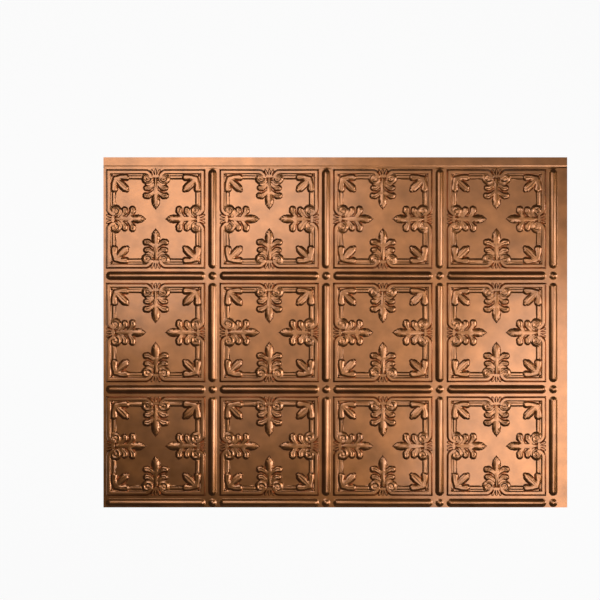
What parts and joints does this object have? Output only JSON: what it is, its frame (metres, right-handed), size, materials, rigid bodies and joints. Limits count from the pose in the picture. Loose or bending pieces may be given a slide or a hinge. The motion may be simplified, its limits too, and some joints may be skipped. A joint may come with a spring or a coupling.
{
  "type": "backsplash panel",
  "caption": "Thin formed vinyl sheet with a pressed-tin pattern of square frames, ribs and palmettes, and flat lap strips on two edges, for covering a wall.",
  "frame": {"origin": "bottom centre of the bounding box: middle of the sheet, on its back face", "axes": "+Z out of the patterned face, +X along the long edge toward the right lap strip, +Y toward the top lap strip"},
  "size_m": [0.6224, 0.47, 0.0038],
  "materials": {
    "bronze_vinyl": "satin"
  },
  "bodies": {
    "root": {"backsplash_panel": "bronze_vinyl"}
  },
  "joints": []
}
